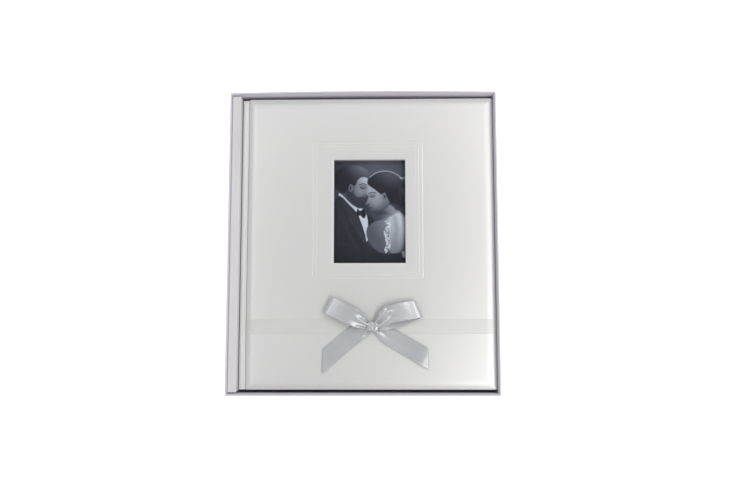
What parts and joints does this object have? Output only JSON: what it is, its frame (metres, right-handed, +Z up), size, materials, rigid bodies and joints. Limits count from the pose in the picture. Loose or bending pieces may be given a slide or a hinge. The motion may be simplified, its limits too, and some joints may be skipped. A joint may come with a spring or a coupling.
{
  "type": "padded photo album in open presentation tray",
  "caption": "Padded photo album with a picture window and ribbon bow, lying in an open box tray beside a card spacer; the cover and leaves turn.",
  "frame": {"origin": "centre of the tray's underside", "axes": "+Z up out of the tray, +X from the album's spine to its fore edge, +Y towards the head of the cover"},
  "size_m": [0.306, 0.345, 0.0621],
  "materials": {
    "greyboard": "matte",
    "wrap_paper": "satin",
    "lining_paper": "matte",
    "spacer_card": "satin",
    "pearl_leatherette": "satin",
    "foam": "matte",
    "endpaper": "satin",
    "binding_cloth": "matte",
    "leaf_card": "matte",
    "photo_paper": "gloss",
    "clear_film": "gloss",
    "ivory_satin": "satin",
    "silver_satin": "satin"
  },
  "bodies": {
    "presentation_tray": {"base_paper": "wrap_paper", "box_floor": "greyboard", "box_wall_back": "greyboard", "box_wall_front": "greyboard", "box_wall_left": "greyboard", "box_wall_right": "greyboard", "box_wrap": "wrap_paper", "box_lining": "lining_paper", "spine_spacer": "spacer_card"},
    "album": {"back_cover_skin": "pearl_leatherette", "back_foam": "foam", "back_board": "greyboard", "back_endpaper": "endpaper", "spine_skin": "pearl_leatherette", "spine_board": "greyboard", "mull": "binding_cloth", "headband_head": "binding_cloth", "headband_tail": "binding_cloth", "bound_stubs": "leaf_card"},
    "front_cover": {"front_cover_skin": "pearl_leatherette", "front_foam": "foam", "front_board": "greyboard", "pocket_card": "greyboard", "front_endpaper": "endpaper", "print_backing": "greyboard", "photo_print": "photo_paper", "window_pane": "clear_film", "window_bezel": "pearl_leatherette", "ribbon_band": "ivory_satin", "bow_loop_left": "silver_satin", "bow_loop_right": "silver_satin", "bow_tail_left": "silver_satin", "bow_tail_right": "silver_satin", "bow_knot": "silver_satin"},
    "leaves_1": {"leaf_01": "leaf_card", "leaf_02": "leaf_card", "leaf_03": "leaf_card", "leaf_04": "leaf_card"},
    "leaves_2": {"leaf_05": "leaf_card", "leaf_06": "leaf_card", "leaf_07": "leaf_card", "leaf_08": "leaf_card"},
    "leaves_3": {"leaf_09": "leaf_card", "leaf_10": "leaf_card", "leaf_11": "leaf_card", "leaf_12": "leaf_card"},
    "leaves_4": {"leaf_13": "leaf_card", "leaf_14": "leaf_card", "leaf_15": "leaf_card", "leaf_16": "leaf_card"},
    "leaves_5": {"leaf_17": "leaf_card", "leaf_18": "leaf_card", "leaf_19": "leaf_card", "leaf_20": "leaf_card"}
  },
  "joints": [
    {"name": "album_lift", "type": "slide", "parent": "presentation_tray", "child": "album", "axis": [0, 0, 1], "range_m": [0, 0.08]},
    {"name": "front_cover_hinge", "type": "hinge", "parent": "album", "child": "front_cover", "pos_m": [-0.1328, 0, 0.0454], "axis": [0, -1, 0], "range_deg": [0, 110]},
    {"name": "leaves_1_turn", "type": "hinge", "parent": "album", "child": "leaves_1", "pos_m": [-0.118, 0, 0.0379], "axis": [0, -1, 0], "range_deg": [0, 20]},
    {"name": "leaves_2_turn", "type": "hinge", "parent": "album", "child": "leaves_2", "pos_m": [-0.118, 0, 0.0379], "axis": [0, -1, 0], "range_deg": [0, 39.8]},
    {"name": "leaves_3_turn", "type": "hinge", "parent": "album", "child": "leaves_3", "pos_m": [-0.118, 0, 0.0379], "axis": [0, -1, 0], "range_deg": [0, 57.4]},
    {"name": "leaves_4_turn", "type": "hinge", "parent": "album", "child": "leaves_4", "pos_m": [-0.118, 0, 0.0379], "axis": [0, -1, 0], "range_deg": [0, 75]},
    {"name": "leaves_5_turn", "type": "hinge", "parent": "album", "child": "leaves_5", "pos_m": [-0.118, 0, 0.0379], "axis": [0, -1, 0], "range_deg": [0, 92.6]}
  ],
  "couplings": [
    {"joint": "leaves_1_turn", "follows": "front_cover_hinge", "ratio": 0.18},
    {"joint": "leaves_2_turn", "follows": "front_cover_hinge", "ratio": 0.36},
    {"joint": "leaves_3_turn", "follows": "front_cover_hinge", "ratio": 0.52},
    {"joint": "leaves_4_turn", "follows": "front_cover_hinge", "ratio": 0.68},
    {"joint": "leaves_5_turn", "follows": "front_cover_hinge", "ratio": 0.84}
  ]
}
